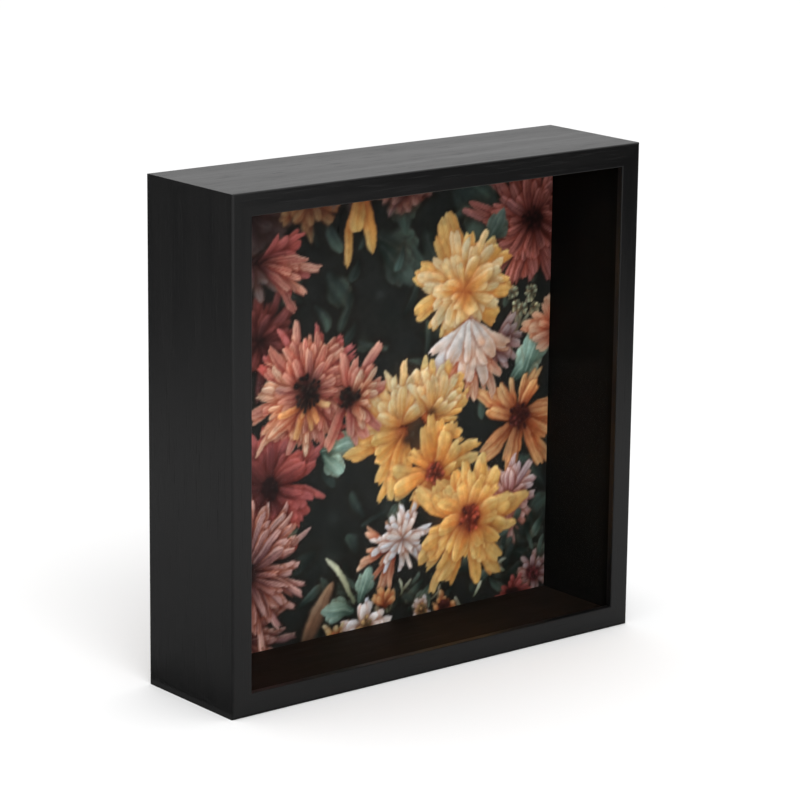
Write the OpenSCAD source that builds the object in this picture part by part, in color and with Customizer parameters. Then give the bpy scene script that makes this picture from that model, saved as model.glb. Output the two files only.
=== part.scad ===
// Deep box frame for a square print: four mitred rails, glass, a spacer box behind the glass,
// the print, and a back panel held in by bendable steel tabs, with a D-ring hanger.
// Millimetres. +X is to the right, +Y runs from the front to the back, +Z is up.
// The origin is at the middle of the base.

/* [Frame] */
// Overall width
frame_w = 214; // [160:1:320]
// Overall height
frame_h = 214; // [160:1:320]
// Overall depth, front to back
frame_d = 58; // [40:1:90]
// Thickness of the four side walls
wall_t = 4.8; // [4:0.1:8]
// Width of the front face round the window
lip_w = 9.6; // [8:0.1:20]
// Thickness of the front lip, which the glass rests against
lip_t = 3; // [2:0.1:6]
// Radius of the outer front edge
edge_r = 1; // [0.4:0.1:2]
// Radius of the window's edge and of the back's edges
arris_r = 0.5; // [0.2:0.1:1]

/* [Corner nails] */
// Length of each leg of a V-nail
nail_leg = 6; // [4:0.5:10]
// Thickness of a V-nail's steel
nail_t = 0.5; // [0.3:0.1:0.8]
// How deep a V-nail goes into the wood
nail_h = 7; // [5:0.5:12]
// How far a V-nail's top is below the back of the frame
nail_sink = 0.2; // [0:0.1:0.6]

/* [Inserts] */
// Gap between the frame's walls and the glass, the print and the panel
insert_gap = 0.6; // [0.6:0.1:1.5]
// Thickness of the glass
glass_t = 2; // [1.5:0.1:4]
// Thickness of the spacer strips
spacer_t = 2.5; // [1.5:0.1:5]
// Gap between the spacer strips and the frame's walls
spacer_gap = 0.1; // [0:0.05:0.5]
// Thickness of the print
print_t = 0.3; // [0.2:0.05:1]
// Thickness of the back panel
panel_t = 2.5; // [2:0.1:5]
// Depth of the recess behind the back panel
recess_d = 8.2; // [6:0.1:15]

/* [Tabs] */
// Width of a steel tab
tab_w = 8; // [5:0.5:12]
// Length of a tab's leaf, from the bend to the tip
tab_l = 9.5; // [6:0.5:14]
// Thickness of a tab
tab_t = 0.5; // [0.3:0.05:0.5]
// How far a tab's root goes into the wall
tab_root = 3.2; // [2:0.1:3.6]
// Distance between the two tabs of one side
tab_pitch = 118; // [60:1:130]
// Radius of the leaf's two tip corners
tab_tip_r = 2.2; // [0.5:0.1:2.5]
// Gap between a leaf and what it lies beside
tab_gap = 0.05; // [0.03:0.01:0.2]

/* [Hanger] */
// Distance from the panel's top edge down to the ring's axis
hanger_drop = 22; // [18:1:60]
// Radius of the ring's wire
wire_r = 0.9; // [0.6:0.05:1.2]
// Radius of the ring's round end, to the middle of the wire
ring_r = 6; // [5:0.1:9]
// Radius of the ring's two top corners, to the middle of the wire
ring_corner_r = 1.4; // [1.2:0.1:2]
// Distance from the ring's axis down to the start of its round end
ring_leg = 4; // [3:0.5:8]
// Gap between the wire and the strap's loop
loop_gap = 0.08; // [0.05:0.01:0.1]
// Thickness of the strap's steel, which is folded double
strap_t = 0.6; // [0.4:0.05:0.8]
// Gap between the strap and the bends at the ring's corners
strap_side_gap = 0.4; // [0.2:0.1:1]
// Distance from the ring's axis down to the rivet
rivet_drop = 5.6; // [5:0.1:7]
// Radius of the rivet's shank
rivet_r = 1.5; // [1:0.1:2]
// Radius of the rivet's head
rivet_head_r = 2.4; // [2:0.1:3]
// Height of the rivet's head
rivet_head_h = 1; // [0.6:0.1:1.4]
// Gap round the rivet's shank
rivet_gap = 0.06; // [0.05:0.01:0.2]
// Angle between the hanging ring and the panel
ring_lean = 6; // [5:1:15]

/* [Hidden] */

$fn = 64;
arc_steps = 5;
eps = 0.01;
// How far a cut runs past the surface it opens.
overcut = 1;

// Places along the depth, front to back.
front_y = -frame_d / 2;
back_y = frame_d / 2;
glass_y = front_y + lip_t;
spacer_y = glass_y + glass_t;
panel_back_y = back_y - recess_d;
panel_y = panel_back_y - panel_t;
print_y = panel_y - print_t;

// The opening between the walls, and the inserts that fill it.
inner_w = frame_w - 2 * wall_t;
inner_h = frame_h - 2 * wall_t;
insert_w = inner_w - 2 * insert_gap;
insert_h = inner_h - 2 * insert_gap;
spacer_w = inner_w - 2 * spacer_gap;
spacer_h = inner_h - 2 * spacer_gap;
mid_z = frame_h / 2;

// A tab's bend is a tight gap away from the wall, and its leaf the same gap off the panel.
bend_r = tab_t / 2;
bend_in = wall_t + tab_gap + bend_r;
bend_y = panel_back_y + 2 * tab_gap + bend_r;

// The hanger, from the panel's back face outwards.
loop_r = wire_r + loop_gap;
loop_out_r = loop_r + strap_t;
strap_plate_t = 2 * strap_t;
strap_w = 2 * (ring_r - ring_corner_r - strap_side_gap);
ring_z = frame_h - wall_t - insert_gap - hanger_drop;
ring_y = panel_back_y + loop_out_r;
rivet_z = ring_z - rivet_drop;
rivet_tail_h = 0.7;

// Points along an arc about [x, y], between two angles.
function arc(centre, r, from, to) =
    [for (i = [0 : arc_steps])
        let (a = from + (to - from) * i / arc_steps)
        centre + r * [cos(a), sin(a)]];

// A rail's cross-section: depth from the front face, then distance in from the outer face.
function rail_outline() = concat(
    arc([edge_r, edge_r], edge_r, 270, 180),
    arc([arris_r, lip_w - arris_r], arris_r, 180, 90),
    [[lip_t, lip_w], [lip_t, wall_t]],
    arc([frame_d - arris_r, wall_t - arris_r], arris_r, 90, 0),
    arc([frame_d - arris_r, arris_r], arris_r, 0, -90));

// Sweeps a [depth, in] outline along X.
module along_x(length) {
    rotate([90, 0, 90])
        linear_extrude(height = length, center = true)
            children();
}

// Extrudes an [x, z] outline from y = from to y = to.
module through_y(from, to) {
    translate([0, to, 0])
        rotate([90, 0, 0])
            linear_extrude(height = to - from)
                children();
}

// A length with both ends mitred at 45 degrees, its long side on z = 0.
module mitre_outline(length, height) {
    polygon([[-length / 2, 0], [length / 2, 0],
             [length / 2 - height, height], [-length / 2 + height, height]]);
}

// Puts a piece that was drawn for the base, inside up, on one of the four sides.
module on_bottom() { children(); }
module on_top() { translate([0, 0, frame_h]) rotate([0, 180, 0]) children(); }
module on_left() { translate([-frame_w / 2, 0, mid_z]) rotate([0, 90, 0]) children(); }
module on_right() { translate([frame_w / 2, 0, mid_z]) rotate([0, -90, 0]) children(); }

// The corner's steel V seen from the back, with its point on the mitre.
module nail_outline() {
    nail_in = (wall_t - nail_t) / 2;
    translate([nail_in, nail_in]) {
        square([nail_leg, nail_t]);
        square([nail_t, nail_leg]);
    }
}

// The V-nail of the corner where x and z are lowest, or its pocket.
module nail(top) {
    translate([-frame_w / 2, 0, 0])
        through_y(back_y - nail_sink - nail_h, top)
            nail_outline();
}

module four_corners() {
    for (side = [0, 1], end = [0, 1])
        mirror([side, 0, 0])
            translate([0, 0, end * frame_h])
                mirror([0, 0, end])
                    children();
}

// A tab's root, or its slit in a wall, for a tab at x = 0 on the base.
module tab_root_block() {
    translate([-tab_w / 2, bend_y - bend_r, wall_t - tab_root])
        cube([tab_w, tab_t, tab_root]);
}

module tab_pair() {
    for (side = [-1, 1])
        translate([side * tab_pitch / 2, 0, 0])
            children();
}

// One mitred rail of the base, inside up, with the tab slits and nail pockets cut.
module rail(length) {
    difference() {
        intersection() {
            translate([0, front_y, 0])
                along_x(length)
                    polygon(rail_outline());
            through_y(front_y - overcut, back_y + overcut)
                mitre_outline(length, lip_w + overcut);
        }
        tab_pair() tab_root_block();
        for (end = [0, 1])
            mirror([end, 0, 0])
                translate([(frame_w - length) / 2, 0, 0])
                    nail(back_y + overcut);
    }
}

module frame_top() { color([0.06, 0.06, 0.065]) on_top() rail(frame_w); }
module frame_bottom() { color([0.06, 0.06, 0.065]) on_bottom() rail(frame_w); }
module frame_left() { color([0.06, 0.06, 0.065]) on_left() rail(frame_h); }
module frame_right() { color([0.06, 0.06, 0.065]) on_right() rail(frame_h); }

module corner_v_nails() {
    color([0.55, 0.55, 0.57])
        four_corners()
            nail(back_y - nail_sink);
}

// A flat board standing behind the window, between two depths.
module board(width, height, from, to) {
    translate([-width / 2, from, mid_z - height / 2])
        cube([width, to - from, height]);
}

module glass_pane() {
    color([0.85, 0.92, 0.9, 0.3])
        board(insert_w, insert_h, glass_y, spacer_y);
}

// One mitred strip of the spacer box, for the base.
module spacer_strip(length) {
    translate([0, 0, wall_t + spacer_gap])
        through_y(spacer_y, print_y)
            mitre_outline(length, spacer_t);
}

module spacer_top() { color([0.03, 0.03, 0.03]) on_top() spacer_strip(spacer_w); }
module spacer_bottom() { color([0.03, 0.03, 0.03]) on_bottom() spacer_strip(spacer_w); }
module spacer_left() { color([0.03, 0.03, 0.03]) on_left() spacer_strip(spacer_h); }
module spacer_right() { color([0.03, 0.03, 0.03]) on_right() spacer_strip(spacer_h); }

module print_sheet() {
    color([0.75, 0.5, 0.25])
        board(insert_w, insert_h, print_y, panel_y);
}

module back_panel() {
    color([0.45, 0.3, 0.18])
        difference() {
            board(insert_w, insert_h, panel_y, panel_back_y);
            translate([0, panel_back_y + overcut, rivet_z])
                rotate([90, 0, 0])
                    cylinder(r = rivet_r + rivet_gap, h = panel_t + 2 * overcut);
            translate([0, panel_y + rivet_tail_h + rivet_gap, rivet_z])
                rotate([90, 0, 0])
                    cylinder(r = rivet_head_r + rivet_gap, h = rivet_tail_h + overcut);
        }
}

module tab_roots() {
    color([0.7, 0.7, 0.72]) {
        on_bottom() tab_pair() tab_root_block();
        on_top() tab_pair() tab_root_block();
        on_left() tab_pair() tab_root_block();
        on_right() tab_pair() tab_root_block();
    }
}

// A tab's leaf on the base: a round bend beside the wall, and a leaf with round tip corners.
module tab_leaf(along) {
    translate([along, 0, bend_in]) {
        translate([-tab_w / 2, bend_y, 0])
            rotate([0, 90, 0])
                cylinder(r = bend_r, h = tab_w);
        through_y(bend_y - bend_r, bend_y + bend_r) {
            translate([-tab_w / 2, 0])
                square([tab_w, tab_l - tab_tip_r]);
            translate([-tab_w / 2 + tab_tip_r, 0])
                square([tab_w - 2 * tab_tip_r, tab_l]);
            for (side = [-1, 1])
                translate([side * (tab_w / 2 - tab_tip_r), tab_l - tab_tip_r])
                    circle(r = tab_tip_r);
        }
    }
}

module steel() { color([0.7, 0.7, 0.72]) children(); }
module flex_tab_top_left() { steel() on_top() tab_leaf(tab_pitch / 2); }
module flex_tab_top_right() { steel() on_top() tab_leaf(-tab_pitch / 2); }
module flex_tab_bottom_left() { steel() on_bottom() tab_leaf(-tab_pitch / 2); }
module flex_tab_bottom_right() { steel() on_bottom() tab_leaf(tab_pitch / 2); }
module flex_tab_left_upper() { steel() on_left() tab_leaf(-tab_pitch / 2); }
module flex_tab_left_lower() { steel() on_left() tab_leaf(tab_pitch / 2); }
module flex_tab_right_upper() { steel() on_right() tab_leaf(tab_pitch / 2); }
module flex_tab_right_lower() { steel() on_right() tab_leaf(-tab_pitch / 2); }

// A steel strip folded double round the ring's straight side, with a round lower end.
module hanger_strap() {
    steel()
        translate([0, 0, ring_z])
            difference() {
                union() {
                    along_x(strap_w) {
                        translate([ring_y, 0]) circle(r = loop_out_r);
                        translate([panel_back_y, -rivet_drop])
                            square([strap_plate_t, rivet_drop]);
                    }
                    through_y(panel_back_y, panel_back_y + strap_plate_t)
                        translate([0, -rivet_drop])
                            circle(r = strap_w / 2);
                }
                along_x(strap_w + overcut)
                    translate([ring_y, 0])
                        circle(r = loop_r);
                through_y(panel_back_y - overcut, ring_y + loop_out_r)
                    translate([0, -rivet_drop])
                        circle(r = rivet_r + rivet_gap);
            }
}

// A bend in the wire, in the XZ plane: from = 0 starts at +X, and angles turn towards +Z.
module wire_bend(radius, from, turn) {
    rotate([90, -from, 0])
        rotate_extrude(angle = turn)
            translate([radius, 0])
                circle(r = wire_r);
}

// The D-shaped wire ring, hanging down from its axis and leaning off the strap.
module hanger_ring() {
    corner_x = ring_r - ring_corner_r;
    steel()
        translate([0, ring_y, ring_z])
            rotate([ring_lean, 0, 0]) {
                translate([-corner_x, 0, 0])
                    rotate([0, 90, 0])
                        cylinder(r = wire_r, h = 2 * corner_x);
                for (side = [0, 1])
                    mirror([side, 0, 0]) {
                        translate([corner_x, 0, -ring_corner_r])
                            wire_bend(ring_corner_r, 0, 90);
                        translate([ring_r, 0, -ring_leg])
                            cylinder(r = wire_r, h = ring_leg - ring_corner_r);
                    }
                translate([0, 0, -ring_leg])
                    wire_bend(ring_r, 180, 180);
            }
}

// The rivet: a head on the strap, a shank through the panel and a flat tail sunk in its front.
module hanger_rivet() {
    steel()
        translate([0, panel_back_y, rivet_z])
            rotate([-90, 0, 0]) {
                translate([0, 0, strap_plate_t + eps])
                    cylinder(r1 = rivet_head_r, r2 = rivet_head_r - rivet_head_h / 2, h = rivet_head_h);
                translate([0, 0, -panel_t])
                    cylinder(r = rivet_r, h = panel_t + strap_plate_t + rivet_head_h / 2);
                translate([0, 0, -panel_t])
                    cylinder(r = rivet_head_r, h = rivet_tail_h);
            }
}

frame_top();
frame_bottom();
frame_left();
frame_right();
corner_v_nails();
glass_pane();
spacer_top();
spacer_bottom();
spacer_left();
spacer_right();
print_sheet();
back_panel();
tab_roots();
flex_tab_top_left();
flex_tab_top_right();
flex_tab_bottom_left();
flex_tab_bottom_right();
flex_tab_left_upper();
flex_tab_left_lower();
flex_tab_right_upper();
flex_tab_right_lower();
hanger_strap();
hanger_ring();
hanger_rivet();
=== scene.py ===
"""Looks of the shadow box: black stained wood, matt black spacers, clear glass, a floral print, and the
hardboard panel, steel tabs and hanger on the back. Metres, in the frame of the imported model."""

import math

import bpy
import numpy as np
from mathutils import Matrix, Vector


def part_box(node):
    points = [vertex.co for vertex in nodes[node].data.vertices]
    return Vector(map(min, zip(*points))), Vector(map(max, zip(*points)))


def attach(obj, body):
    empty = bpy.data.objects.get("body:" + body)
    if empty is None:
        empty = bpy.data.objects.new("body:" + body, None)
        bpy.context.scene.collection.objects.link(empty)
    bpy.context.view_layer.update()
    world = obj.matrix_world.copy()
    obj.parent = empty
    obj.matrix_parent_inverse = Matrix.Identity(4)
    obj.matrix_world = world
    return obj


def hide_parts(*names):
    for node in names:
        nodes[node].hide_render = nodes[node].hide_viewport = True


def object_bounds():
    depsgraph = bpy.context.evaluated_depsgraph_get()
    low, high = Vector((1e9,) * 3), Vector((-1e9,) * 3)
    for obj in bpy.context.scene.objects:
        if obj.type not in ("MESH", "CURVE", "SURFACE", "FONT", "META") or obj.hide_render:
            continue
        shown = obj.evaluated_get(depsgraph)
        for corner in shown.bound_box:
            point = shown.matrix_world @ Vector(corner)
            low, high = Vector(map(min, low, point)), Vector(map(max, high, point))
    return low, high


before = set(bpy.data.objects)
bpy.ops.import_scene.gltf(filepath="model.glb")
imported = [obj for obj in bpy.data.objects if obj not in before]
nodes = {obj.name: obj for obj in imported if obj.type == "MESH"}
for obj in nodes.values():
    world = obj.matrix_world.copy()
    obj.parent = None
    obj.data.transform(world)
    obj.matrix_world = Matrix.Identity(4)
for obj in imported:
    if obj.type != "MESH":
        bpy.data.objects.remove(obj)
cad_low, cad_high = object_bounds()

MM = 0.001
scene = bpy.context.scene
scene.view_settings.view_transform = "Standard"


# ---------------------------------------------------------------- shader helpers

# A Mix node's sockets for colours, by number, because its kinds share their names.
MIX_FACTOR, MIX_A, MIX_B, MIX_RESULT = 0, 6, 7, 2


class Graph:
    """One material's node tree, with short calls to add and join its nodes."""

    def __init__(self, name):
        self.material = bpy.data.materials.new(name)
        self.material.use_nodes = True
        self.tree = self.material.node_tree
        self.tree.nodes.clear()

    def add(self, kind, inputs=None, **settings):
        """A node, with its settings, and its inputs set to a number, a colour or another node's output."""
        made = self.tree.nodes.new(kind)
        for key, value in settings.items():
            setattr(made, key, value)
        for key, value in (inputs or {}).items():
            if isinstance(value, bpy.types.NodeSocket):
                self.tree.links.new(value, made.inputs[key])
            else:
                made.inputs[key].default_value = value
        return made

    def math(self, operation, *values, clamp=False):
        inputs = dict(enumerate(values))
        return self.add("ShaderNodeMath", inputs, operation=operation, use_clamp=clamp).outputs[0]

    def vector_math(self, operation, inputs):
        return self.add("ShaderNodeVectorMath", inputs, operation=operation).outputs[0]

    def mix(self, factor, a, b, blend="MIX"):
        """Two colours mixed."""
        inputs = {MIX_FACTOR: factor, MIX_A: a, MIX_B: b}
        return self.add("ShaderNodeMix", inputs, data_type="RGBA", blend_type=blend).outputs[MIX_RESULT]

    def grey(self, value):
        """A number as a grey colour."""
        return self.add("ShaderNodeCombineColor", {0: value, 1: value, 2: value}).outputs[0]

    def place(self, scale=(1, 1, 1), turn=(0, 0, 0)):
        """The piece's own coordinates in metres, stretched by scale."""
        own = self.add("ShaderNodeTexCoord").outputs["Object"]
        return self.add("ShaderNodeMapping", {"Vector": own, "Scale": scale, "Rotation": turn}).outputs[0]

    def noise(self, where, scale, detail, rough, distortion=0.0):
        """Smooth noise, with scale in cells per metre."""
        return self.add("ShaderNodeTexNoise", {"Vector": where, "Scale": scale, "Detail": detail,
                                               "Roughness": rough, "Distortion": distortion}).outputs["Fac"]

    def remap(self, value, low, high, to_low, to_high):
        return self.add("ShaderNodeMapRange", {"Value": value, "From Min": low, "From Max": high,
                                               "To Min": to_low, "To Max": to_high}).outputs[0]

    def ramp(self, value, stops):
        """A colour ramp: stops are (place, colour)."""
        made = self.add("ShaderNodeValToRGB", {"Fac": value})
        band = made.color_ramp
        while len(band.elements) < len(stops):
            band.elements.new(0.5)
        for element, (place, colour) in zip(band.elements, stops):
            element.position = place
            element.color = (*colour, 1)
        return made.outputs[0]

    def bump(self, height, depth, strength):
        inputs = {"Height": height, "Distance": depth, "Strength": strength}
        return self.add("ShaderNodeBump", inputs).outputs[0]

    def principled(self, colour, roughness, **others):
        inputs = {"Base Color": colour, "Roughness": roughness, **others}
        return self.add("ShaderNodeBsdfPrincipled", inputs).outputs[0]

    def finish(self, surface):
        self.add("ShaderNodeOutputMaterial", {"Surface": surface})
        return self.material


# ---------------------------------------------------------------- materials

def stretched(along, squeeze):
    """A scale that draws a texture out along one axis (0 = X, 2 = Z)."""
    scale = [1.0, 1.0, 1.0]
    scale[along] = squeeze
    return scale


def black_wood(name, along, shift):
    """Open-pored wood stained black under a satin coat, its grain along one axis. shift moves the grain,
    so that no two rails look alike."""
    ring_scale, band_scale, pore_scale = 190, 42, 1500
    pore_depth = 0.06 * MM
    stain = [(0.34, (0.0014, 0.0014, 0.0016)), (0.5, (0.0025, 0.0024, 0.0025)),
             (0.68, (0.0046, 0.0044, 0.0043))]
    pore_colour = (0.0025, 0.0025, 0.0025, 1)
    g = Graph(name)
    where = g.vector_math("ADD", {0: g.place(stretched(along, 0.035)), 1: (shift, shift * 0.7, shift * 1.3)})
    rings = g.noise(where, ring_scale, 4, 0.6, 0.35)
    bands = g.noise(where, band_scale, 2, 0.5, 0.2)
    pores = g.remap(g.noise(where, pore_scale, 2, 0.6), 0.60, 0.68, 0.0, 1.0)
    tone = g.math("ADD", g.math("MULTIPLY", rings, 0.6), g.math("MULTIPLY", bands, 0.4))
    colour = g.mix(g.math("MULTIPLY", pores, 0.6), g.ramp(tone, stain), pore_colour)
    roughness = g.math("ADD", g.remap(tone, 0.3, 0.7, 0.35, 0.46), g.math("MULTIPLY", pores, 0.14))
    height = g.math("SUBTRACT", g.math("MULTIPLY", rings, 0.5), g.math("MULTIPLY", pores, 0.8))
    normal = g.bump(height, pore_depth, 0.55)
    return g.finish(g.principled(colour, roughness, Normal=normal, IOR=1.36))


def spacer_black(name, along):
    """Matt black coated strip, with faint draw marks along it and specks of dust. Where it faces up it turns
    brown: partly settled dust, partly a painted glow standing in for the print's warm light reflected there."""
    mark_scale, tooth_scale, speck_scale, dust_and_glow_scale = 700, 2600, 1900, 90
    tooth_depth = 0.006 * MM
    coat = [(0.35, (0.0022, 0.0020, 0.0018)), (0.7, (0.0042, 0.0037, 0.0033))]
    speck_colour = (0.012, 0.011, 0.010, 1)
    # brown of settled dust and of painted warm light from the print, for up-facing faces
    dust_and_painted_glow_colour = (0.0150, 0.0082, 0.0050, 1)
    g = Graph(name)
    marks = g.noise(g.place(stretched(along, 0.05)), mark_scale, 2, 0.5)
    tooth = g.noise(g.place(), tooth_scale, 2, 0.5)
    specks = g.remap(g.noise(g.place(), speck_scale, 2, 0.6), 0.70, 0.76, 0.0, 0.35)
    up = g.add("ShaderNodeSeparateXYZ", {0: g.add("ShaderNodeNewGeometry").outputs["Normal"]}).outputs["Z"]
    layer = g.remap(g.noise(g.place(), dust_and_glow_scale, 3, 0.6), 0.3, 0.7, 0.35, 0.7)
    # Painted light: faces that point up get a brown that is partly dust and partly a painted warm glow from
    # the print
    dust_and_painted_glow = g.math("MULTIPLY", up, layer, clamp=True)
    colour = g.mix(specks, g.ramp(marks, coat), speck_colour)
    colour = g.mix(dust_and_painted_glow, colour, dust_and_painted_glow_colour)
    roughness = g.remap(marks, 0.3, 0.7, 0.58, 0.68)
    normal = g.bump(g.math("ADD", g.math("MULTIPLY", marks, 0.4), tooth), tooth_depth, 0.5)
    return g.finish(g.principled(colour, roughness, Normal=normal, IOR=1.15))


def picture_glass():
    """Clear coated picture glass: it passes light straight on, and its outward faces reflect a little,
    more at a slant and less evenly where it is smeared."""
    head_on, grazing = 0.0004, 0.5
    smear_scale = 26
    g = Graph("picture_glass")
    facing = g.add("ShaderNodeLayerWeight", {"Blend": 0.5}).outputs["Facing"]
    slant = g.math("POWER", facing, 5.0)
    front = g.math("SUBTRACT", 1.0, g.add("ShaderNodeNewGeometry").outputs["Backfacing"])
    smear = g.remap(g.noise(g.place((1, 1, 0.6)), smear_scale, 3, 0.6), 0.45, 0.75, 0.8, 1.3)
    even_share = g.math("MULTIPLY", g.remap(slant, 0, 1, head_on, grazing), front)
    share = g.math("MULTIPLY", even_share, smear, clamp=True)
    clear = g.add("ShaderNodeBsdfTransparent", {"Color": (0.985, 0.992, 0.988, 1)}).outputs[0]
    shine = g.add("ShaderNodeBsdfGlossy", {"Color": (1, 1, 1, 1), "Roughness": 0.015}).outputs[0]
    return g.finish(g.add("ShaderNodeMixShader", {0: share, 1: clear, 2: shine}).outputs[0])


def hardboard():
    """Pressed brown hardboard: short fibres laid flat every way, dark bark specks and a rubbed face."""
    fibre_scale, speck_scale, blotch_scale = 2100, 900, 22
    swirl_scale, swirl_tilt_scale, swirl_reach = 60, 75, 0.02
    fibre_depth = 0.03 * MM
    board = [(0.46, (0.092, 0.047, 0.024)), (0.58, (0.150, 0.081, 0.043)), (0.74, (0.235, 0.138, 0.078))]
    blotch_colour = (0.105, 0.055, 0.030, 1)
    speck_colour = (0.040, 0.021, 0.012, 1)
    g = Graph("hardboard")
    warp = g.noise(g.place(), swirl_scale, 2, 0.5)
    tilt = g.noise(g.place(), swirl_tilt_scale, 2, 0.5)
    swirl = g.add("ShaderNodeCombineXYZ", {0: warp, 1: warp, 2: tilt}).outputs[0]
    swirl = g.vector_math("SCALE", {0: swirl, 3: swirl_reach})
    fibres = None
    for turn in (0.2, 1.25, 2.3):
        where = g.vector_math("ADD", {0: g.place((0.22, 1, 1), (0, turn, 0)), 1: swirl})
        strands = g.noise(where, fibre_scale, 2, 0.6, 0.3)
        fibres = strands if fibres is None else g.math("MAXIMUM", fibres, strands)
    blotch = g.noise(g.place(), blotch_scale, 4, 0.6)
    specks = g.remap(g.noise(g.place(), speck_scale, 2, 0.7), 0.68, 0.74, 0.0, 1.0)
    colour = g.mix(g.remap(blotch, 0.35, 0.7, 0.0, 0.45), g.ramp(fibres, board), blotch_colour)
    colour = g.mix(g.math("MULTIPLY", specks, 0.6), colour, speck_colour)
    roughness = g.remap(fibres, 0.45, 0.75, 0.62, 0.46)
    normal = g.bump(g.math("SUBTRACT", fibres, g.math("MULTIPLY", specks, 0.4)), fibre_depth, 0.6)
    return g.finish(g.principled(colour, roughness, Normal=normal, IOR=1.45))


def plated_steel(name, tint, low, high, mark_scale):
    """Plated steel strip or wire: fine rolling marks, dull patches and a faint uneven plating. low and
    high bound its roughness."""
    patch_scale = 240
    mark_depth = 0.008 * MM
    dull = tuple(0.72 * c for c in tint)
    g = Graph(name)
    marks = g.noise(g.place((1, 1, 0.06)), mark_scale, 3, 0.6)
    patches = g.noise(g.place(), patch_scale, 3, 0.6)
    colour = g.ramp(patches, [(0.35, dull), (0.65, tint)])
    roughness = g.math("ADD", g.remap(patches, 0.3, 0.7, low, high), g.remap(marks, 0.3, 0.7, -0.05, 0.05))
    normal = g.bump(marks, mark_depth, 0.6)
    return g.finish(g.principled(colour, roughness, Normal=normal, Metallic=1.0))


def print_paper():
    """Photo paper: the picture is the sheet's colour layer, with ink grain and a fine satin tooth."""
    grain_scale, mottle_scale, tooth_scale = 3600, 900, 5200
    tooth_depth = 0.01 * MM
    g = Graph("print_paper")
    ink = g.add("ShaderNodeAttribute", attribute_name=LAYER, attribute_type="GEOMETRY").outputs["Color"]
    grain = g.remap(g.noise(g.place(), grain_scale, 2, 0.6), 0.3, 0.7, 0.90, 1.08)
    mottle = g.remap(g.noise(g.place(), mottle_scale, 2, 0.6), 0.3, 0.7, 0.95, 1.04)
    colour = g.mix(1.0, ink, g.grey(g.math("MULTIPLY", grain, mottle)), "MULTIPLY")
    tooth = g.noise(g.place(), tooth_scale, 2, 0.5)
    normal = g.bump(tooth, tooth_depth, 0.5)
    return g.finish(g.principled(colour, g.remap(tooth, 0.3, 0.7, 0.50, 0.62), Normal=normal, IOR=1.25))


# ---------------------------------------------------------------- the printed picture

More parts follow.
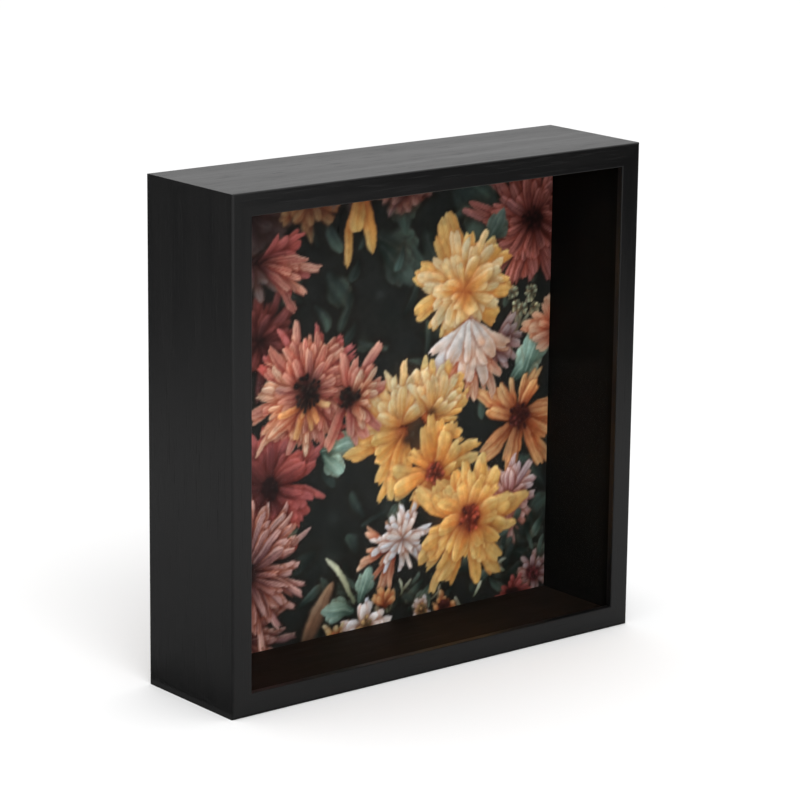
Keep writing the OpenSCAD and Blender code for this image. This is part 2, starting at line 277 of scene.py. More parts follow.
class Canvas:
    """A square picture painted petal by petal on a grid of points. Places are in millimetres from the
    print's middle, x to the right and z up. Colours are as seen, and become linear at the end."""

    LIGHT = 2.3  # the direction that the picture's light comes from, as an angle
    SPIRAL = 0.618034  # the turn from one petal of a head to the next, as part of the head's sweep
    ROLLED = 0.22  # the share of a head's petals that are rolled, so shorter and narrower
    WIDEST = 0.68  # how far out a petal is widest, as part of its length

    def __init__(self, half, count, ground, seed):
        self.half, self.count = half, count
        self.step = 2 * half / count
        line = (np.arange(count) + 0.5) * self.step - half
        self.x, self.z = np.meshgrid(line, line)
        self.rgb = np.ones((count, count, 3)) * ground
        self.rng = np.random.default_rng(seed)

    def window(self, x, z, reach):
        """The part of the grid within reach of a point."""
        def span(centre):
            low, high = ((centre + side * reach + self.half) / self.step for side in (-1, 1))
            return slice(int(min(max(low, 0), self.count)), int(min(max(high + 1, 0), self.count)))
        return span(z), span(x)

    def cloud(self, cell):
        """An even random field from -1 to 1, with cells of this size in millimetres."""
        cells = round(2 * self.half / cell)
        coarse = self.rng.uniform(-1, 1, (cells + 1, cells + 1))
        line = np.linspace(0, cells, self.count)
        low = np.minimum(line.astype(int), cells - 1)
        part = smooth(line - low)
        rows = coarse[low] + (coarse[low + 1] - coarse[low]) * part[:, None]
        return rows[:, low] + (rows[:, low + 1] - rows[:, low]) * part

    def unsettle(self):
        """Bends every outline by a millimetre or so and varies light and warmth by some per cent, so that
        no two petals stay alike."""
        column, row = np.meshgrid(np.arange(self.count), np.arange(self.count))
        shift_x = 1.3 * self.cloud(13) + 0.38 * self.cloud(4)
        shift_z = 1.3 * self.cloud(13) + 0.38 * self.cloud(4)
        column = np.clip((column + shift_x / self.step).astype(int), 0, self.count - 1)
        row = np.clip((row + shift_z / self.step).astype(int), 0, self.count - 1)
        light = 1 + 0.07 * self.cloud(24) + 0.07 * self.cloud(7) + 0.08 * self.cloud(2.2)
        warmth = 0.03 * self.cloud(9)
        self.rgb = self.rgb[row, column] * light[..., None]
        self.rgb[..., 0] *= 1 + warmth
        self.rgb[..., 2] *= 1 - warmth

    def haze(self, x, z, radius, colour, strength=1.0, squash=1.0, turn=0.0):
        """A soft patch, out of focus."""
        part = self.window(x, z, radius * 2.6)
        dx, dz = self.x[part] - x, self.z[part] - z
        along = dx * math.cos(turn) + dz * math.sin(turn)
        across = (dz * math.cos(turn) - dx * math.sin(turn)) / squash
        cover = strength * np.exp(-(along**2 + across**2) / radius**2)
        self.rgb[part] += (np.array(colour) - self.rgb[part]) * cover[..., None]

    def petal(self, x, z, angle, length, width, colours, bend=0.0, blur=0.3, blunt=2.4, root=0.45,
              shade=1.0, streaks=0.4, shadow=0.3, alpha=1.0, notch=0.0, curl=0.0):
        """One petal or leaf from (x, z) outwards, with lengthwise grooves, and a shadow round it. curl lifts
        its tip to the light."""
        deep, body, tip, light = colours
        c, s = math.cos(angle), math.sin(angle)
        reach = 0.62 * length + width + 3 * blur + 2
        part = self.window(x + 0.5 * length * c, z + 0.5 * length * s, reach)
        dx, dz = self.x[part] - x, self.z[part] - z
        if length < 1 or dx.size == 0:
            return
        rng = self.rng
        wander = bend * length + 0.10 * width * rng.uniform(-1, 1)
        u = (dx * c + dz * s) / length
        v = dz * c - dx * s - wander * u * np.abs(u)
        dent = notch * np.exp(-(v / (0.16 * width)) ** 2)
        u = u + dent + 0.02 * np.sin(7 * v / width + rng.uniform(0, 6))
        inside = np.clip(u, 0, 1)
        swell = root + (1 - root) * np.sin(np.clip(inside / self.WIDEST, 0, 1) * math.pi / 2)
        beyond = np.clip(inside - self.WIDEST, 0, 1) / (1 - self.WIDEST)
        close = np.sqrt(1 - beyond ** blunt + 1e-6)
        half = 0.5 * width * swell * close
        edge = half - np.abs(v) - (np.maximum(u - 1, 0) + np.maximum(-u, 0)) * length
        near = smooth(0.5 + 0.5 * (edge + 0.5 + blur) / (1.1 + 2 * blur))
        self.rgb[part] *= 1 - (shadow * alpha * near)[..., None] * SHADOW_TINT

        across = np.clip(v / np.maximum(half, 0.25), -1, 1)
        t = inside[..., None]
        colour = deep + (body - deep) * smooth(t / 0.45)
        colour = colour + (tip - colour) * smooth((t - 0.35) / 0.6)
        facing = math.sin(self.LIGHT - angle)
        gleam = np.clip(facing * across + 0.15, 0, 1) * (0.25 + 0.75 * inside)
        colour = colour + (light - colour) * (0.75 * gleam)[..., None]
        phase = rng.uniform(0, 6)
        wave = 0.6 * np.cos(6.2 * across + 0.6 * phase) + 0.4 * np.sin(13 * across + phase)
        wave = wave + 0.5 * np.sin(4 * inside + 2.5 * across + phase)
        ridge = streaks * np.clip(wave, 0, 1) * (0.2 + 0.8 * inside)
        groove = 0.6 * streaks * np.clip(-wave, 0, 1)
        colour = colour + (light - colour) * ridge[..., None]
        colour = colour + (deep - colour) * groove[..., None]
        tone = 1 + 0.07 * facing * across + curl * (inside - 0.55)
        tone = tone * (0.90 + 0.10 * smooth(inside / 0.5)) * shade
        cover = alpha * smooth(0.5 + 0.5 * (edge + 0.1) / (blur + 0.15))
        self.rgb[part] += (np.clip(colour * tone[..., None], 0, 1) - self.rgb[part]) * cover[..., None]

    def bloom(self, x, z, radius, kind, petals, rings, width, start=0.0, sweep=2 * math.pi, lean=0.0,
              reach=0.0, blur=0.3, shade=1.0, core=0.2, inner=0.6, streaks=0.4, shadow=0.3, loose=0.12):
        """A flower head: petals laid in a loose spiral, the outer ones first, then its middle. petals is
        how many a ring of the full head has. width and core are parts of the radius, and inner is the
        length of the innermost petals as a part of the outermost's. start and sweep cut a fan. reach makes
        the petals on the side of lean longer and the others shorter. loose is how disordered they lie."""
        rng = self.rng
        deep, body, tip, light, heart = (np.array(c) for c in PALETTE[kind])
        count = max(3, round(0.9 * petals * rings * sweep / (2 * math.pi)))
        turn = rng.uniform(0, 1)
        for k in range(count):
            depth = k / (count - 1)
            angle = start + sweep * ((k * self.SPIRAL + turn) % 1) + rng.normal(0, loose)
            size = radius * (1 - (1 - inner) * depth) * (1 + rng.normal(0, loose))
            rolled = rng.uniform(0, 1) < self.ROLLED
            long = size * (1 + reach * math.cos(angle - lean)) * (rng.uniform(0.62, 0.85) if rolled else 1)
            broad = radius * width * (rng.uniform(0.5, 0.75) if rolled else rng.uniform(0.8, 1.25))
            lit = 0.5 + 0.5 * math.cos(angle - self.LIGHT)
            warm = rng.uniform(-0.04, 0.04)
            tint = np.array((1 + warm, 1, 1 - warm)) * rng.uniform(0.92, 1.05)
            pale = (rng.uniform(0, 0.55) + 0.30 * lit) * (1 - 0.7 * depth)
            middle = body + (deep - body) * 0.3 * depth
            colours = (deep * tint, middle * tint, (tip + (light - tip) * pale) * tint, light)
            self.petal(x + 0.05 * radius * math.cos(angle), z + 0.05 * radius * math.sin(angle), angle,
                       0.95 * long, broad, colours, bend=rng.uniform(-0.22, 0.22), blur=blur,
                       blunt=3 * rng.uniform(0.6, 1.2), root=0.42,
                       shade=shade * (0.92 + 0.06 * depth + 0.08 * lit), streaks=streaks, shadow=shadow,
                       notch=rng.uniform(0, 0.08), curl=rng.uniform(-0.10, 0.16))
        if core:
            self.heart(x, z, radius * core, heart, blur)

    def heart(self, x, z, radius, colour, blur=0.3):
        """The middle of a flower: a low dome of small florets."""
        rng = self.rng
        self.haze(x, z, radius * 1.1, colour * 0.6, 0.85)
        for _ in range(int(20 + 4 * radius)):
            far = radius * math.sqrt(rng.uniform(0, 1))
            angle = rng.uniform(0, 2 * math.pi)
            size = rng.uniform(0.9, 1.6)
            floret = colour * rng.uniform(0.55, 1.5) * (1.1 - 0.3 * far / radius)
            self.petal(x + far * math.cos(angle), z + far * math.sin(angle), angle, size * 1.5, size,
                       (floret * 0.8, floret, floret * 1.2, floret * 1.5), blur=blur, root=0.6, shadow=0.15)

    def leaf(self, x, z, angle, length, kind, lobes, blur=0.35, shade=1.0):
        """A lobed leaf with a pale midrib."""
        colours = shades(kind)
        for k in range(lobes, 0, -1):
            for side in (-1, 1):
                out = 0.2 * k * length
                self.petal(x + out * math.cos(angle), z + out * math.sin(angle), angle + side * 0.7,
                           length * (0.60 - 0.08 * k), length * 0.24, colours, bend=-0.12 * side, blur=blur,
                           blunt=1.6, root=0.6, shade=shade * (0.95 + 0.10 * side), streaks=0.25,
                           shadow=0.2)
        self.petal(x, z, angle, length, length * 0.34, colours, blur=blur, blunt=1.6, root=0.5, shade=shade,
                   streaks=0.3, shadow=0.1)
        rib = [colours[-1]] * len(colours)
        self.petal(x, z, angle, length * 0.85, 0.8, rib, blur=blur, blunt=2, root=0.6, shade=shade,
                   streaks=0, shadow=0, alpha=0.5)

    def stalk(self, x, z, angle, length, width, bend=0.0, shade=1.0):
        self.petal(x, z, angle, length, width, shades("stem"), bend=bend, root=0.7, shade=shade,
                   streaks=0.3, shadow=0.2)


def smooth(t):
    """0 below 0, 1 above 1, and an even curve between."""
    t = np.clip(t, 0, 1)
    return t * t * (3 - 2 * t)


def shades(kind):
    """The colours of a kind's petals or leaves, from root to light streaks."""
    return [np.array(colour) for colour in PALETTE[kind][:4]]


def to_linear(seen):
    """Linear light of a colour as seen (sRGB)."""
    return np.where(seen <= 0.04045, seen / 12.92, ((seen + 0.055) / 1.055) ** 2.4)


# Each kind's root, body, tip and light streaks, then a flower's heart, as seen on the print.
PALETTE = {
    "yellow": ((0.71, 0.42, 0.20), (0.78, 0.58, 0.31), (0.80, 0.67, 0.45), (0.82, 0.76, 0.64),
               (0.60, 0.33, 0.22)),
    "gold": ((0.68, 0.34, 0.17), (0.76, 0.50, 0.22), (0.79, 0.58, 0.29), (0.83, 0.73, 0.51),
             (0.48, 0.23, 0.17)),
    "orange": ((0.48, 0.21, 0.13), (0.67, 0.38, 0.22), (0.74, 0.50, 0.31), (0.82, 0.70, 0.52),
               (0.25, 0.12, 0.11)),
    "pink": ((0.38, 0.14, 0.13), (0.60, 0.28, 0.25), (0.68, 0.37, 0.32), (0.81, 0.66, 0.58),
             (0.12, 0.09, 0.08)),
    "pale_pink": ((0.20, 0.09, 0.09), (0.40, 0.22, 0.22), (0.60, 0.41, 0.39), (0.79, 0.66, 0.62),
                  (0.15, 0.09, 0.09)),
    "red": ((0.22, 0.09, 0.08), (0.42, 0.18, 0.18), (0.54, 0.25, 0.24), (0.64, 0.38, 0.37),
            (0.13, 0.07, 0.07)),
    "crimson": ((0.21, 0.08, 0.07), (0.32, 0.15, 0.13), (0.41, 0.23, 0.21), (0.60, 0.39, 0.37),
                (0.15, 0.06, 0.06)),
    "mauve": ((0.38, 0.20, 0.22), (0.58, 0.40, 0.41), (0.70, 0.57, 0.57), (0.79, 0.73, 0.72),
              (0.34, 0.16, 0.17)),
    "white": ((0.66, 0.60, 0.60), (0.74, 0.71, 0.71), (0.78, 0.76, 0.77), (0.84, 0.83, 0.85),
              (0.54, 0.44, 0.30)),
    "droop": ((0.82, 0.80, 0.79), (0.79, 0.73, 0.70), (0.75, 0.55, 0.43), (0.86, 0.84, 0.84),
              (0.54, 0.44, 0.30)),
    "rust": ((0.50, 0.21, 0.15), (0.67, 0.37, 0.27), (0.75, 0.53, 0.42), (0.82, 0.72, 0.62),
             (0.38, 0.19, 0.13)),
    "leaf": ((0.17, 0.24, 0.21), (0.32, 0.40, 0.36), (0.43, 0.51, 0.47), (0.58, 0.65, 0.60)),
    "dark_leaf": ((0.11, 0.13, 0.12), (0.14, 0.17, 0.16), (0.19, 0.24, 0.22), (0.27, 0.33, 0.30)),
    "stem": ((0.38, 0.41, 0.32), (0.52, 0.54, 0.45), (0.66, 0.67, 0.59), (0.76, 0.76, 0.70)),
    "bud": ((0.28, 0.19, 0.14), (0.42, 0.30, 0.23), (0.50, 0.38, 0.30), (0.58, 0.48, 0.39)),
}
GROUND = (0.112, 0.114, 0.108)
SHADOW_TINT = np.array((0.50, 1.0, 1.25))  # a petal's shadow takes less red and more blue
PICTURE_SEED = 11


def paint_picture(half, count, finer):
    """A bed of garden chrysanthemums on a dark ground: yellow to the right, pink and red to the left.
    It is painted finer than it is kept, then averaged."""
    art = Canvas(half, count * finer, GROUND, PICTURE_SEED)
    rng = art.rng
    down = -math.pi / 2

    # Soft leaves and light far behind.
    for _ in range(60):
        tone = rng.uniform(0.75, 1.35)
        art.haze(rng.uniform(-100, 100), rng.uniform(-100, 100), rng.uniform(3, 14),
                 (0.105 * tone, 0.122 * tone, 0.113 * tone), 0.5, rng.uniform(0.4, 1), rng.uniform(0, 3))
    far_leaves = ((36, 96, -0.5, 40), (70, 82, -2.3, 30), (30, 68, -1.2, 30), (2, 70, -0.5, 30),
                  (-24, 58, -0.9, 20), (-92, 52, 0.4, 24), (74, 60, 0.9, 20), (16, 94, -1.5, 24),
                  (86, -66, 0.3, 20), (96, -76, 2.6, 22), (70, -84, 0.9, 18), (98, -52, 2.4, 22))
    for x, z, angle, length in far_leaves:
        art.leaf(x, z, angle, length, "dark_leaf", 2, 1.4, 1.1)
    art.leaf(4, 66, -0.75, 26, "leaf", 2, 1.2, 0.52)
    dark, green, pale = shades("dark_leaf"), shades("leaf"), shades("stem")
    for _ in range(80):
        art.petal(rng.uniform(-100, 100), rng.uniform(-100, 100), rng.uniform(0, 6.3), rng.uniform(7, 18),
                  rng.uniform(2, 6), dark, rng.uniform(-0.3, 0.3), rng.uniform(0.8, 1.5),
                  shade=rng.uniform(0.75, 1.35))
    for x, z, radius in ((4, 45, 2), (-20, -48, 3), (-8, -58, 2), (-22, -66, 4), (8, -48, 3), (60, 98, 3),
                         (-5, 28, 3), (90, -64, 4)):
        art.haze(x, z, radius, (0.22, 0.26, 0.24), 0.4)

    # Heads along the top, most of them out of focus.
    art.bloom(-66, 88, 27, "mauve", 14, 3, 0.26, blur=1.8, shade=0.45, core=0)
    art.bloom(-34, 92, 19, "orange", 13, 3, 0.22, blur=1.1, shade=0.72, core=0)
    art.bloom(18, 93, 17, "pale_pink", 14, 3, 0.26, blur=1.6, shade=0.85, core=0)
    art.bloom(-16, 99, 18, "mauve", 12, 2, 0.26, blur=1.8, shade=0.55, core=0)
    art.bloom(-6, 92, 12, "orange", 9, 2, 0.3, start=down - 1.5, sweep=3.0, blur=0.9, shade=0.9, core=0)
    art.bloom(-8, 92, 34, "gold", 10, 2, 0.17, start=down - 0.45, sweep=1.1, blur=0.6, shade=0.95, core=0,
              loose=0.15)
    art.bloom(88, 68, 36, "crimson", 32, 4, 0.11, blur=0.4, core=0.12, inner=0.4, shade=1.12, streaks=0.7,
              loose=0.16)
    art.leaf(62, 60, 1.0, 18, "leaf", 2, 0.7, 0.7)

    # Left side: pinks and reds, with an orange and a yellow head at the edge.
    art.bloom(-94, 92, 22, "pale_pink", 15, 3, 0.2, blur=0.9, shade=0.6)
    art.bloom(-88, 34, 28, "crimson", 20, 4, 0.18, blur=0.7)
    art.bloom(-60, 34, 24, "red", 18, 3, 0.17, blur=0.8, shade=0.72, core=0)
    art.bloom(-62, 68, 20, "mauve", 14, 3, 0.2, start=-2.2, sweep=2.4, blur=0.9, shade=0.62, core=0)
    art.bloom(-60, 66, 27, "red", 22, 3, 0.13, start=-0.6, sweep=1.35, blur=0.35, core=0, inner=0.7,
              shade=1.1)
    art.bloom(-58, 65, 30, "pink", 26, 3, 0.12, start=-0.75, sweep=1.0, core=0, inner=0.6, streaks=0.7)
    art.bloom(-54, -30, 30, "red", 22, 4, 0.16, blur=0.4, core=0.10, shade=1.12)
    art.haze(-62, -26, 14, (0.15, 0.07, 0.07), 0.6)
    art.bloom(-88, -10, 24, "orange", 15, 4, 0.2, blur=0.5, shade=0.9)
    art.bloom(-92, -48, 21, "yellow", 15, 4, 0.2, blur=0.45, shade=0.85)
    art.leaf(-26, -17, 0.0, 17, "leaf", 3, shade=1.15)
    art.leaf(-25, -19, -0.8, 14, "leaf", 3, shade=1.15)
    art.leaf(-38, -50, -2.6, 12, "leaf", 3, 0.5, 0.9)

    # Lower left: pale pink heads, and a pink one at the edge.
    art.bloom(-68, -94, 26, "pale_pink", 22, 4, 0.14, blur=0.4, shade=0.85, core=0.10, streaks=0.55)
    art.bloom(-66, -64, 33, "pale_pink", 32, 4, 0.10, core=0.12, inner=0.6, shade=1.05, streaks=0.6,
              shadow=0.5)
    art.bloom(-96, -84, 19, "pink", 15, 3, 0.2, blur=0.5, shade=0.85)

    # The large pink head, its far petals red.
    art.bloom(-36, 8, 30, "red", 28, 2, 0.12, start=-1.0, sweep=3.6, core=0, inner=0.9, shade=1.15)
    art.bloom(-35, 8, 27, "pink", 30, 3, 0.13, core=0, inner=0.7, streaks=0.6, lean=2.2, reach=0.12)
    art.bloom(-36, 6, 26, "rust", 26, 2, 0.12, start=2.5, sweep=2.4, core=0, inner=0.8, streaks=0.8,
              shade=1.04)
    art.bloom(-35, 8, 17, "pink", 24, 1, 0.2, core=0, inner=0.8, streaks=0.6)
    art.bloom(-36, 6, 15, "orange", 16, 1, 0.2, start=3.4, sweep=2.6, core=0, inner=0.8, shade=1.1)
    art.heart(-35, 8, 6.0, np.array(PALETTE["pink"][4]))

    # Right edge: leaves, grass, seed heads and two spent heads.
    art.leaf(78, -2, 0.75, 24, "leaf", 2, 0.35, 1.3)
    art.leaf(86, 2, 1.15, 22, "leaf", 3, 0.35, 1.3)
    for x, z, angle, length in ((72, 4, 1.10, 34), (77, 10, 1.35, 22), (82, 22, 0.7, 12)):
        art.stalk(x, z, angle, length, 1.8, bend=0.05, shade=0.85)
    for x, z, size in ((87, 36, 2.2), (83, 29, 1.5), (79, 31, 1.2), (90, 29, 1.3), (76, 37, 1.2)):
        art.heart(x, z, size, np.array(PALETTE["stem"][1]))
    art.bloom(102, 20, 17, "rust", 13, 2, 0.24, start=1.6, sweep=2.6, core=0)
    art.bloom(68, 16, 17, "mauve", 13, 3, 0.2, start=-1.9, sweep=2.9, shade=0.8, core=0)

    # Yellow heads down the middle, seen partly from the side, and the orange one at the right.
    art.bloom(84, -20, 27, "orange", 16, 2, 0.18, core=0.17, inner=0.8, streaks=0.7, loose=0.14)
    art.bloom(76, -56, 20, "mauve", 20, 3, 0.17, core=0.10, streaks=0.6)
    art.leaf(82, -80, -0.5, 22, "leaf", 3, 0.5, 0.5)
    art.haze(50, 42, 13, (0.66, 0.40, 0.20), 1.0)
    art.bloom(50, 42, 28, "gold", 18, 2, 0.2, core=0, inner=0.8, streaks=0.4, shadow=0.16, lean=1.7,
              reach=0.1)
    art.bloom(50, 42, 26, "yellow", 16, 3, 0.2, core=0, inner=0.45, streaks=0.4, shadow=0.16, lean=1.7,
              reach=0.12)
    art.haze(49, 41, 5, (0.66, 0.38, 0.20), 0.55)
    art.bloom(54, 24, 34, "rust", 22, 2, 0.13, start=down - 0.9, sweep=1.8, core=0, inner=0.9, streaks=0.6)
    art.bloom(54, 28, 32, "droop", 20, 3, 0.15, start=down - 0.95, sweep=1.9, core=0, inner=0.55,
              streaks=0.5, loose=0.07)
    for x, z, radius in ((20, -2, 9), (32, -3, 7), (13, -20, 8), (34, -26, 8), (35, -38, 9), (54, -62, 14)):
        art.haze(x, z, radius, (0.66, 0.37, 0.18), 1.0)
    art.bloom(18, -14, 34, "gold", 18, 4, 0.16, start=2.5, sweep=2.4, core=0, inner=0.5, shadow=0.2)
    art.bloom(30, -12, 29, "gold", 18, 3, 0.17, start=-0.3, sweep=2.8, core=0, inner=0.6, shadow=0.2)
    art.bloom(16, -12, 32, "yellow", 20, 4, 0.16, start=0.3, sweep=2.6, core=0, inner=0.4, streaks=0.45,
              shadow=0.18, loose=0.16)
    art.bloom(33, -10, 24, "yellow", 17, 3, 0.19, start=0.0, sweep=2.3, core=0, inner=0.5, shadow=0.18)
    art.haze(20, -19, 3.4, (0.16, 0.10, 0.07), 0.85)
    art.haze(34, -9, 2.4, (0.20, 0.12, 0.08), 0.7)
    art.leaf(18, -46, -2.4, 13, "leaf", 2, 0.4, 0.7)
    art.leaf(44, -48, -1.2, 13, "leaf", 2, 0.4, 0.8)
    art.bloom(38, -32, 24, "gold", 14, 2, 0.2, start=0.7, sweep=1.9, core=0, inner=0.7, shadow=0.2)
    art.bloom(35, -37, 25, "gold", 13, 2, 0.23, core=0.14, inner=0.75, streaks=0.35, shadow=0.2, loose=0.15)

    # The second pink head, half turned away, in front of the yellow ones.
    art.bloom(-11, 2, 24, "pink", 15, 2, 0.2, start=-2.4, sweep=2.6, core=0, inner=0.8, streaks=0.5,
              loose=0.2)
    art.bloom(-10, 3, 28, "pink", 20, 2, 0.16, start=0.85, sweep=1.1, core=0, streaks=0.4, shade=1.05)
    art.bloom(-10, 1, 15, "rust", 15, 2, 0.2, start=-1.6, sweep=3.0, core=0, streaks=0.7)
    art.heart(-11, 3, 4.2, np.array(PALETTE["pink"][4]))

    # Bottom: a litter of leaf tips and stems, then a spiky white head, a bud, leaves, small daisies and
    # the lowest of the yellow heads.
    for _ in range(60):
        right = rng.uniform(0, 1) < 0.35
        x = rng.uniform(68, 101) if right else rng.uniform(-44, 101)
        z = rng.uniform(-88, -64) if right else rng.uniform(-101, -84)
        art.petal(x, z, rng.uniform(0, 6.3), rng.uniform(6, 14), rng.uniform(2, 5), green,
                  rng.uniform(-0.3, 0.3), rng.uniform(0.4, 0.9), shade=rng.uniform(0.3, 0.8))
    for _ in range(16):
        art.petal(rng.uniform(-30, 101), rng.uniform(-101, -84), rng.uniform(0.3, 2.8), rng.uniform(5, 11),
                  rng.uniform(0.9, 1.7), pale, rng.uniform(-0.2, 0.2), shade=rng.uniform(0.8, 1.15))
    art.leaf(34, -88, -2.2, 16, "leaf", 3, 0.4, 0.85)
    art.stalk(15, -46, down, 16, 2.0, shade=1.0)
    art.bloom(14, -66, 24, "rust", 13, 2, 0.11, start=2.2, sweep=2.9, core=0, inner=0.8, loose=0.2)
    art.bloom(17, -63, 16, "white", 17, 3, 0.15, core=0, inner=0.5)
    art.petal(-36, -106, 1.2, 32, 7.5, shades("bud"), -0.1, 1.2, 1.4, 0.25)
    art.stalk(-9, -88, 2.05, 28, 2.4, bend=0.08, shade=1.1)
    art.leaf(-10, -92, 2.8, 17, "leaf", 2, 0.3, 1.15)
    art.leaf(-6, -88, 1.3, 17, "leaf", 2, 0.3, 1.15)
    art.bloom(-2, -99, 14, "white", 11, 2, 0.24, core=0.25, shade=1.08)
    art.bloom(-18, -102, 10, "yellow", 11, 2, 0.24, core=0.25, shade=0.9)
    art.bloom(8, -92, 9, "orange", 8, 2, 0.3, core=0, start=0.6, sweep=2.4)
    art.bloom(53, -61, 33, "gold", 15, 3, 0.21, core=0, inner=0.7, streaks=0.4, shadow=0.18, lean=down,
              reach=0.1)
    art.bloom(54, -61, 25, "gold", 13, 3, 0.23, core=0, inner=0.6, shade=1.04, streaks=0.4, shadow=0.16)
    art.haze(55, -61, 8, (0.62, 0.31, 0.19), 0.6)
    art.heart(55, -61, 4.5, np.array((0.52, 0.24, 0.18)), 0.6)
    art.bloom(42, -99, 8, "orange", 9, 2, 0.3, core=0.25)
    art.bloom(28, -99, 7, "white", 9, 2, 0.3, core=0.25, shade=0.9)
    art.bloom(92, -92, 12, "mauve", 12, 2, 0.22, core=0.2, shade=0.8)
    art.bloom(80, -100, 11, "red", 12, 2, 0.22, core=0.2)

    art.unsettle()
    return to_linear(np.clip(art.rgb, 0, 1).reshape(count, finer, count, finer, 3).mean((1, 3)))


def mesh_object(name, points, faces, material):
    mesh = bpy.data.meshes.new(name)
    mesh.from_pydata(points, [], faces)
    mesh.materials.append(material)
    made = bpy.data.objects.new(name, mesh)
    scene.collection.objects.link(made)
    return made


LAYER = "picture"  # the sheet's colour layer
GRID_COUNT = 306  # points along each side of the sheet's front
FINER = 2  # painted points for each kept one, along a side
PAPER_WHITE = 0.8


def build_print():
    """The print as a closed thin sheet. Its front is a fine grid whose points carry the picture."""
    low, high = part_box("print_sheet")
    count = GRID_COUNT
    last = count - 1
    side = high.x - low.x
    step = side / last

    def at(column, row):
        return row * count + column

    grid = [(low.x + i * step, low.y, low.z + j * step) for j in range(count) for i in range(count)]
    faces = [(at(i, j), at(i + 1, j), at(i + 1, j + 1), at(i, j + 1))
             for j in range(last) for i in range(last)]
    back = len(grid)
    corners = [(low.x, high.y, low.z), (high.x, high.y, low.z),
               (high.x, high.y, high.z), (low.x, high.y, high.z)]
    rims = [[at(i, 0) for i in range(count)], [at(last, j) for j in range(count)],
            [at(last - i, last) for i in range(count)], [at(0, last - j) for j in range(count)]]
    for k, rim in enumerate(rims):
        here, there = back + k, back + (k + 1) % len(rims)
        faces += [(b, a, here) for a, b in zip(rim, rim[1:])]
        faces.append((rim[-1], here, there))
    faces.append((back + 3, back + 2, back + 1, back))
    sheet = mesh_object("print_picture", grid + corners, faces, print_paper())

    colours = np.ones((len(grid) + len(corners), 4), np.float32)
    colours[:, :3] = PAPER_WHITE
    colours[:len(grid), :3] = paint_picture(side / 2 / MM, count, FINER).reshape(-1, 3)
    layer = sheet.data.attributes.new(LAYER, "FLOAT_COLOR", "POINT")
    layer.data.foreach_set("color", colours.ravel())

    points = np.zeros(len(sheet.data.loops), np.int32)
    sheet.data.loops.foreach_get("vertex_index", points)
    place = np.array(grid + corners)[points]
    flat = np.stack([(place[:, 0] - low.x) / side, (place[:, 2] - low.z) / side], 1)
    unwrapped = sheet.data.uv_layers.new(name="OFBake")
    unwrapped.data.foreach_set("uv", flat.astype(np.float32).ravel())
    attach(sheet, "case")
    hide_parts("print_sheet")


# ---------------------------------------------------------------- finish the CAD pieces

def dress(name, material):
    """Gives a CAD piece its material."""
    piece = nodes[name]
    piece.data.materials.clear()
    piece.data.materials.append(material)


ALONG = {"top": 0, "bottom": 0, "left": 2, "right": 2}  # the axis of each side's grain
GRAIN_SHIFT = 3.1
ZINC = (0.38, 0.385, 0.40)
NICKEL = (0.45, 0.43, 0.395)
NAIL_ZINC = (0.36, 0.37, 0.40)

for number, (side, axis) in enumerate(ALONG.items()):
    dress("frame_" + side, black_wood("black_wood_" + side, axis, GRAIN_SHIFT * number))
    dress("spacer_" + side, spacer_black("spacer_black_" + side, axis))
dress("glass_pane", picture_glass())
dress("back_panel", hardboard())
dress("corner_v_nails", plated_steel("nail_steel", NAIL_ZINC, 0.32, 0.5, 1100))
tab_steel = plated_steel("zinc_steel", ZINC, 0.28, 0.42, 900)
hanger_steel = plated_steel("nickel_steel", NICKEL, 0.16, 0.30, 1400)
dress("tab_roots", tab_steel)
for name in nodes:
    if name.startswith("flex_tab"):
        dress(name, tab_steel)
    elif name.startswith("hanger"):
        dress(name, hanger_steel)
build_print()


# ---------------------------------------------------------------- floor, light and camera

FLOOR_HALF = 6.0
SKY_STRENGTH = 1.08
KEY_PLACE = (-0.5, -1.3, 1.5)
KEY_SIZE = 1.2
KEY_POWER = 14

CAMERA_PLACE = (-0.8514, -1.0518, 0.4444)
CAMERA_TURN, CAMERA_DOWN, CAMERA_ROLL = 39.017, 13.834, 0.668
CAMERA_LENS, CAMERA_SENSOR = 149.66, 36.0


def studio_floor():
    """A plain pale floor, with a faint unevenness."""
    g = Graph("studio_floor")
    cloud = g.noise(g.place(), 3, 2, 0.5)
    colour = g.ramp(cloud, [(0.3, (0.90, 0.90, 0.90)), (0.7, (0.93, 0.93, 0.93))])
    white = g.finish(g.principled(colour, 0.9, IOR=1.1))
    floor = mesh_object("floor", lying(-FLOOR_HALF, FLOOR_HALF, -FLOOR_HALF, FLOOR_HALF, 0),
                        [(0, 1, 2, 3)], white)


def flag(name, corners, density):
    """A black card or net beside the set, of this density. Only reflections see it, so it shapes the
    sheen on the wood and keeps the glass clear."""
    g = Graph(name)
    felt = g.remap(g.noise(g.place(), 300, 2, 0.6), 0.3, 0.7, 0.004, 0.010)
    cloth = g.principled(g.grey(felt), 1.0)
    gap = g.add("ShaderNodeBsdfTransparent").outputs[0]
    black = g.finish(g.add("ShaderNodeMixShader", {0: density, 1: gap, 2: cloth}).outputs[0])
    card = mesh_object(name, corners, [(0, 1, 2, 3)], black)
    card.visible_camera = False
    card.visible_diffuse = False
    card.visible_transmission = False
    card.visible_shadow = False


def standing(x0, y0, x1, y1, bottom, top):
    """The corners of an upright card over the line from (x0, y0) to (x1, y1)."""
    return [(x0, y0, bottom), (x1, y1, bottom), (x1, y1, top), (x0, y0, top)]


def lying(x0, x1, y0, y1, height):
    """The corners of a level card."""
    return [(x0, y0, height), (x1, y0, height), (x1, y1, height), (x0, y1, height)]


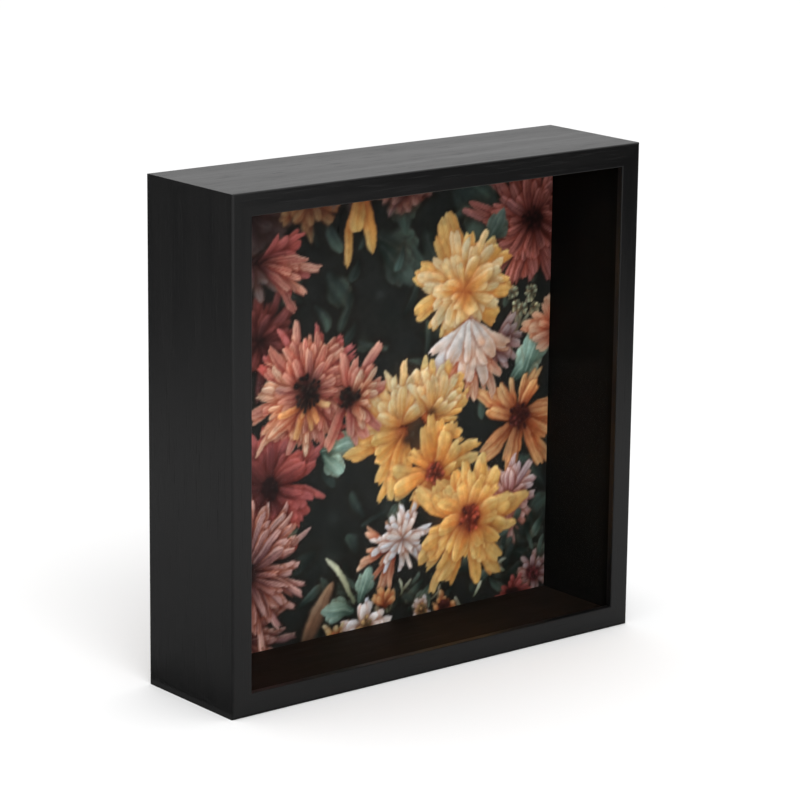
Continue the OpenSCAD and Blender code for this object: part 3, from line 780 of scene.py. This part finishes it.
def add_flags():
    """Flags and nets beside the left side, which is at x = -0.107, and before the front, at y = -0.029. The
    foot nets reach under the round bottom edges and keep the bright floor out of them."""
    net_height, foot_height = 0.002, 0.00008
    flag("side_flag", standing(-0.55, 0.08, -0.09, 0.45, 0.04, 0.5), 0.8)
    flag("side_net", lying(-0.7, -0.1075, -0.3, 0.8, net_height), 0.40)
    flag("side_edge_net", lying(-0.25, -0.1075, -0.3, 0.3, net_height), 0.6)
    flag("front_flag", standing(0.11, -0.40, 0.56, -0.04, 0.05, 0.5), 1.0)
    flag("front_edge_net", lying(-0.3, 0.3, -0.2, -0.0295, net_height), 0.33)
    flag("side_foot_net", lying(-0.126, -0.1064, -0.0284, 0.05, foot_height), 0.65)
    flag("front_foot_net", lying(-0.126, 0.12, -0.032, -0.0284, foot_height), 0.8)


def key_light():
    """A soft light, high in front and a little to the left, aimed at the middle of the object."""
    middle = (cad_low + cad_high) / 2
    data = bpy.data.lights.new("key_light", "AREA")
    data.shape = "RECTANGLE"
    data.size = KEY_SIZE
    data.size_y = KEY_SIZE
    data.energy = KEY_POWER
    lamp = bpy.data.objects.new("key_light", data)
    lamp.location = KEY_PLACE
    lamp.rotation_euler = (middle - Vector(KEY_PLACE)).to_track_quat("-Z", "Y").to_euler()
    scene.collection.objects.link(lamp)


def studio_world():
    """Even white light from all round."""
    world = bpy.data.worlds.new("studio")
    world.use_nodes = True
    sky = world.node_tree.nodes["Background"]
    sky.inputs["Color"].default_value = (1, 1, 1, 1)
    sky.inputs["Strength"].default_value = SKY_STRENGTH
    scene.world = world


def add_camera():
    """The camera stands to the left and a little above, far off with a long lens."""
    turn, down, roll = (math.radians(a) for a in (CAMERA_TURN, CAMERA_DOWN, CAMERA_ROLL))
    data = bpy.data.cameras.new("camera")
    data.lens = CAMERA_LENS
    data.sensor_width = CAMERA_SENSOR
    camera = bpy.data.objects.new("camera", data)
    camera.location = CAMERA_PLACE
    aim = Vector((math.sin(turn) * math.cos(down), math.cos(turn) * math.cos(down), -math.sin(down)))
    level = aim.to_track_quat("-Z", "Y").to_matrix()
    camera.rotation_euler = (level @ Matrix.Rotation(roll, 3, "Z")).to_euler()
    scene.collection.objects.link(camera)
    scene.camera = camera


studio_floor()
studio_world()
add_flags()
key_light()
add_camera()
